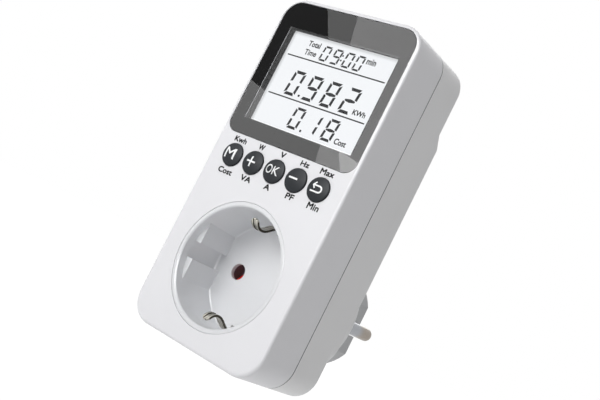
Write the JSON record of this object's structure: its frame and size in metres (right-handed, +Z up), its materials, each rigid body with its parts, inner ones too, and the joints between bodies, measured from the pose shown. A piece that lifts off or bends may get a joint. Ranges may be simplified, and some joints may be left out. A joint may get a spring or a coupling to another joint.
{
  "type": "plug-in power meter",
  "caption": "Plug-in power meter: upright housing with a display behind a dark lens, a row of domed keys, a recessed earthed socket in front and an earthed round plug behind.",
  "frame": {"origin": "midway between the two plug pins, on the plug's contact face", "axes": "+Z up along the housing's height, the front with display and socket looks along -Y, the plug pins point along +Y"},
  "size_m": [0.058, 0.0805, 0.1194],
  "materials": {
    "shell_plastic": "fine moulded satin",
    "socket_plastic": "moulded, slightly glossy",
    "plug_plastic": "moulded satin",
    "lens_acrylic": "polished clear acrylic, tinted by its print",
    "mask_print": "screen-printed black",
    "frame_plastic": "moulded dark grey",
    "display_glass": "lit display glass",
    "guide_acrylic": "polished light guide",
    "lamp_epoxy": "cast epoxy",
    "elastomer": "silicone",
    "board_laminate": "solder mask over glass fibre",
    "chip_epoxy": "moulded epoxy",
    "steel_screw": "zinc plated",
    "crystal_can": "drawn can",
    "switch_plastic": "moulded",
    "key_plastic": "moulded, fine satin, printed signs",
    "header_plastic": "moulded",
    "film_capacitor": "potted box",
    "can_sleeve": "shrink sleeve on a can",
    "varistor_coat": "dipped epoxy",
    "fuse_glass": "glass tube with caps",
    "shunt_alloy": "resistance alloy",
    "battery_sleeve": "shrink sleeve",
    "carrier_plastic": "moulded",
    "shutter_plastic": "moulded red",
    "spring_steel": "wound wire",
    "contact_brass": "stamped",
    "clip_nickel": "stamped, nickel plated",
    "pin_nickel": "turned, nickel plated",
    "bar_copper": "stamped copper"
  },
  "bodies": {
    "meter": {"front_shell": "shell_plastic", "rear_shell": "shell_plastic", "housing_screws": "steel_screw", "display_lens": "lens_acrylic", "lens_mask": "mask_print", "lcd_frame": "frame_plastic", "lcd_glass": "display_glass", "light_guide": "guide_acrylic", "backlight_leds": "lamp_epoxy", "elastomer_connector": "elastomer", "display_board": "board_laminate", "display_board_screws": "steel_screw", "controller_chip": "chip_epoxy", "quartz_crystal": "crystal_can", "tact_switches": "switch_plastic", "main_board": "board_laminate", "main_board_screws": "steel_screw", "board_header": "header_plastic", "mains_capacitor": "film_capacitor", "filter_capacitor": "can_sleeve", "varistor": "varistor_coat", "fuse": "fuse_glass", "current_shunt": "shunt_alloy", "bridge_rectifier": "chip_epoxy", "metering_chip": "chip_epoxy", "backup_battery": "battery_sleeve", "socket_cup": "socket_plastic", "contact_carrier": "carrier_plastic", "carrier_screws": "steel_screw", "shutter_spring": "spring_steel", "socket_contact_line": "contact_brass", "socket_contact_neutral": "contact_brass", "earth_strap": "contact_brass", "plug_body": "plug_plastic", "plug_body_screws": "steel_screw", "plug_pin_line": "pin_nickel", "plug_pin_neutral": "pin_nickel", "line_bar": "bar_copper", "neutral_bar": "bar_copper", "plug_earth_strap": "clip_nickel", "earth_link": "steel_screw", "earth_pin_sleeve": "clip_nickel"},
    "mode_key": {"key_mode": "key_plastic", "plunger_mode": "switch_plastic"},
    "plus_key": {"key_plus": "key_plastic", "plunger_plus": "switch_plastic"},
    "ok_key": {"key_ok": "key_plastic", "plunger_ok": "switch_plastic"},
    "minus_key": {"key_minus": "key_plastic", "plunger_minus": "switch_plastic"},
    "back_key": {"key_back": "key_plastic", "plunger_back": "switch_plastic"},
    "shutter": {"shutter": "shutter_plastic"},
    "upper_clip": {"earth_clip_upper": "clip_nickel"},
    "lower_clip": {"earth_clip_lower": "clip_nickel"}
  },
  "joints": [
    {"name": "mode_press", "type": "slide", "parent": "meter", "child": "mode_key", "axis": [0, 1, 0], "range_m": [0, 0.0005], "stiffness_N_per_m": 1500},
    {"name": "plus_press", "type": "slide", "parent": "meter", "child": "plus_key", "axis": [0, 1, 0], "range_m": [0, 0.0005], "stiffness_N_per_m": 1500},
    {"name": "ok_press", "type": "slide", "parent": "meter", "child": "ok_key", "axis": [0, 1, 0], "range_m": [0, 0.0005], "stiffness_N_per_m": 1500},
    {"name": "minus_press", "type": "slide", "parent": "meter", "child": "minus_key", "axis": [0, 1, 0], "range_m": [0, 0.0005], "stiffness_N_per_m": 1500},
    {"name": "back_press", "type": "slide", "parent": "meter", "child": "back_key", "axis": [0, 1, 0], "range_m": [0, 0.0005], "stiffness_N_per_m": 1500},
    {"name": "shutter_slide", "type": "slide", "parent": "meter", "child": "shutter", "axis": [0, 0, -1], "range_m": [0, 0.0056], "stiffness_N_per_m": 120, "springref_m": -0.003, "deforming": ["shutter_spring"]},
    {"name": "upper_clip_flex", "type": "hinge", "parent": "meter", "child": "upper_clip", "pos_m": [0, -0.0405, 0.0182], "axis": [-1, 0, 0], "range_deg": [0, 6], "stiffness_Nm_per_rad": 0.8},
    {"name": "lower_clip_flex", "type": "hinge", "parent": "meter", "child": "lower_clip", "pos_m": [0, -0.0405, -0.0182], "axis": [1, 0, 0], "range_deg": [0, 6], "stiffness_Nm_per_rad": 0.8}
  ]
}
